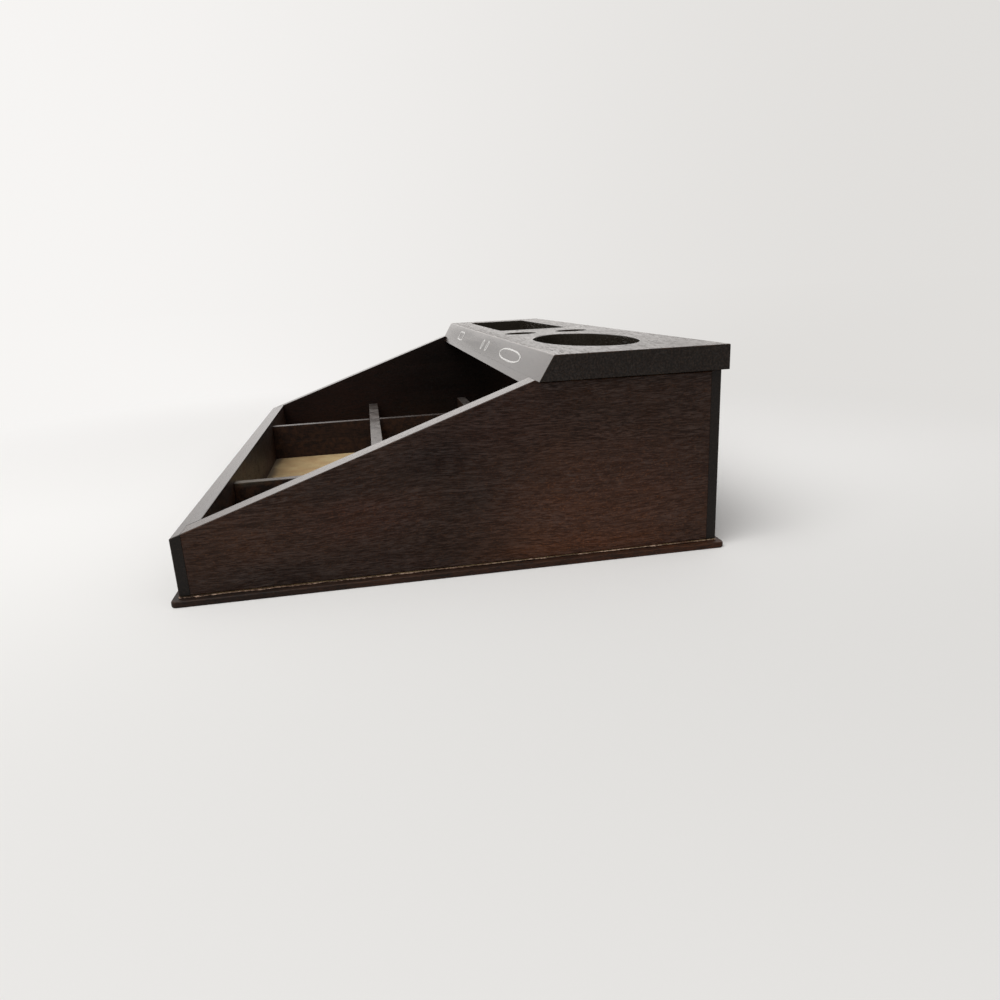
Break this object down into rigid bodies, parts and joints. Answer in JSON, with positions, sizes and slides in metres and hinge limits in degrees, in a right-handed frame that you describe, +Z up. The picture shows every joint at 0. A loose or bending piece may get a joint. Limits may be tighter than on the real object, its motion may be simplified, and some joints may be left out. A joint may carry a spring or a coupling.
{
  "type": "valet organizer",
  "caption": "Wooden desk valet with sloping sides, a low divided tray in front and a raised deck behind with a slot, round pen holes and an oval hole.",
  "frame": {"origin": "under the middle of the base board, on the surface that it stands on", "axes": "+X to the right along the width, +Y from the low front to the raised back, +Z up"},
  "size_m": [0.2584, 0.1714, 0.0653],
  "materials": {
    "base_wood": "dark brown stain, satin lacquer, worn at the edges",
    "side_wood": "dark brown stain over open-pored wood, satin lacquer",
    "deck_wood": "dark brown stain, satin lacquer",
    "divider_wood": "dark brown stain, thin lacquer",
    "tan_lining": "tan flocked card, matte",
    "dowel_wood": "plain beech",
    "pin_steel": "bright steel"
  },
  "bodies": {
    "root": {"base_board": "base_wood", "floor_lining": "tan_lining", "left_side": "side_wood", "right_side": "side_wood", "front_board": "side_wood", "back_board": "side_wood", "top_deck": "deck_wood", "cross_divider": "divider_wood", "rear_rail": "divider_wood", "left_divider": "divider_wood", "right_divider": "divider_wood", "deck_dowel_left_1": "dowel_wood", "deck_dowel_left_2": "dowel_wood", "deck_dowel_right_1": "dowel_wood", "deck_dowel_right_2": "dowel_wood", "deck_dowel_back_1": "dowel_wood", "deck_dowel_back_2": "dowel_wood", "base_pin_front_1": "pin_steel", "base_pin_front_2": "pin_steel", "base_pin_front_3": "pin_steel", "base_pin_back_1": "pin_steel", "base_pin_back_2": "pin_steel", "base_pin_back_3": "pin_steel", "base_pin_left_1": "pin_steel", "base_pin_left_2": "pin_steel", "base_pin_left_3": "pin_steel", "base_pin_right_1": "pin_steel", "base_pin_right_2": "pin_steel", "base_pin_right_3": "pin_steel"}
  },
  "joints": []
}
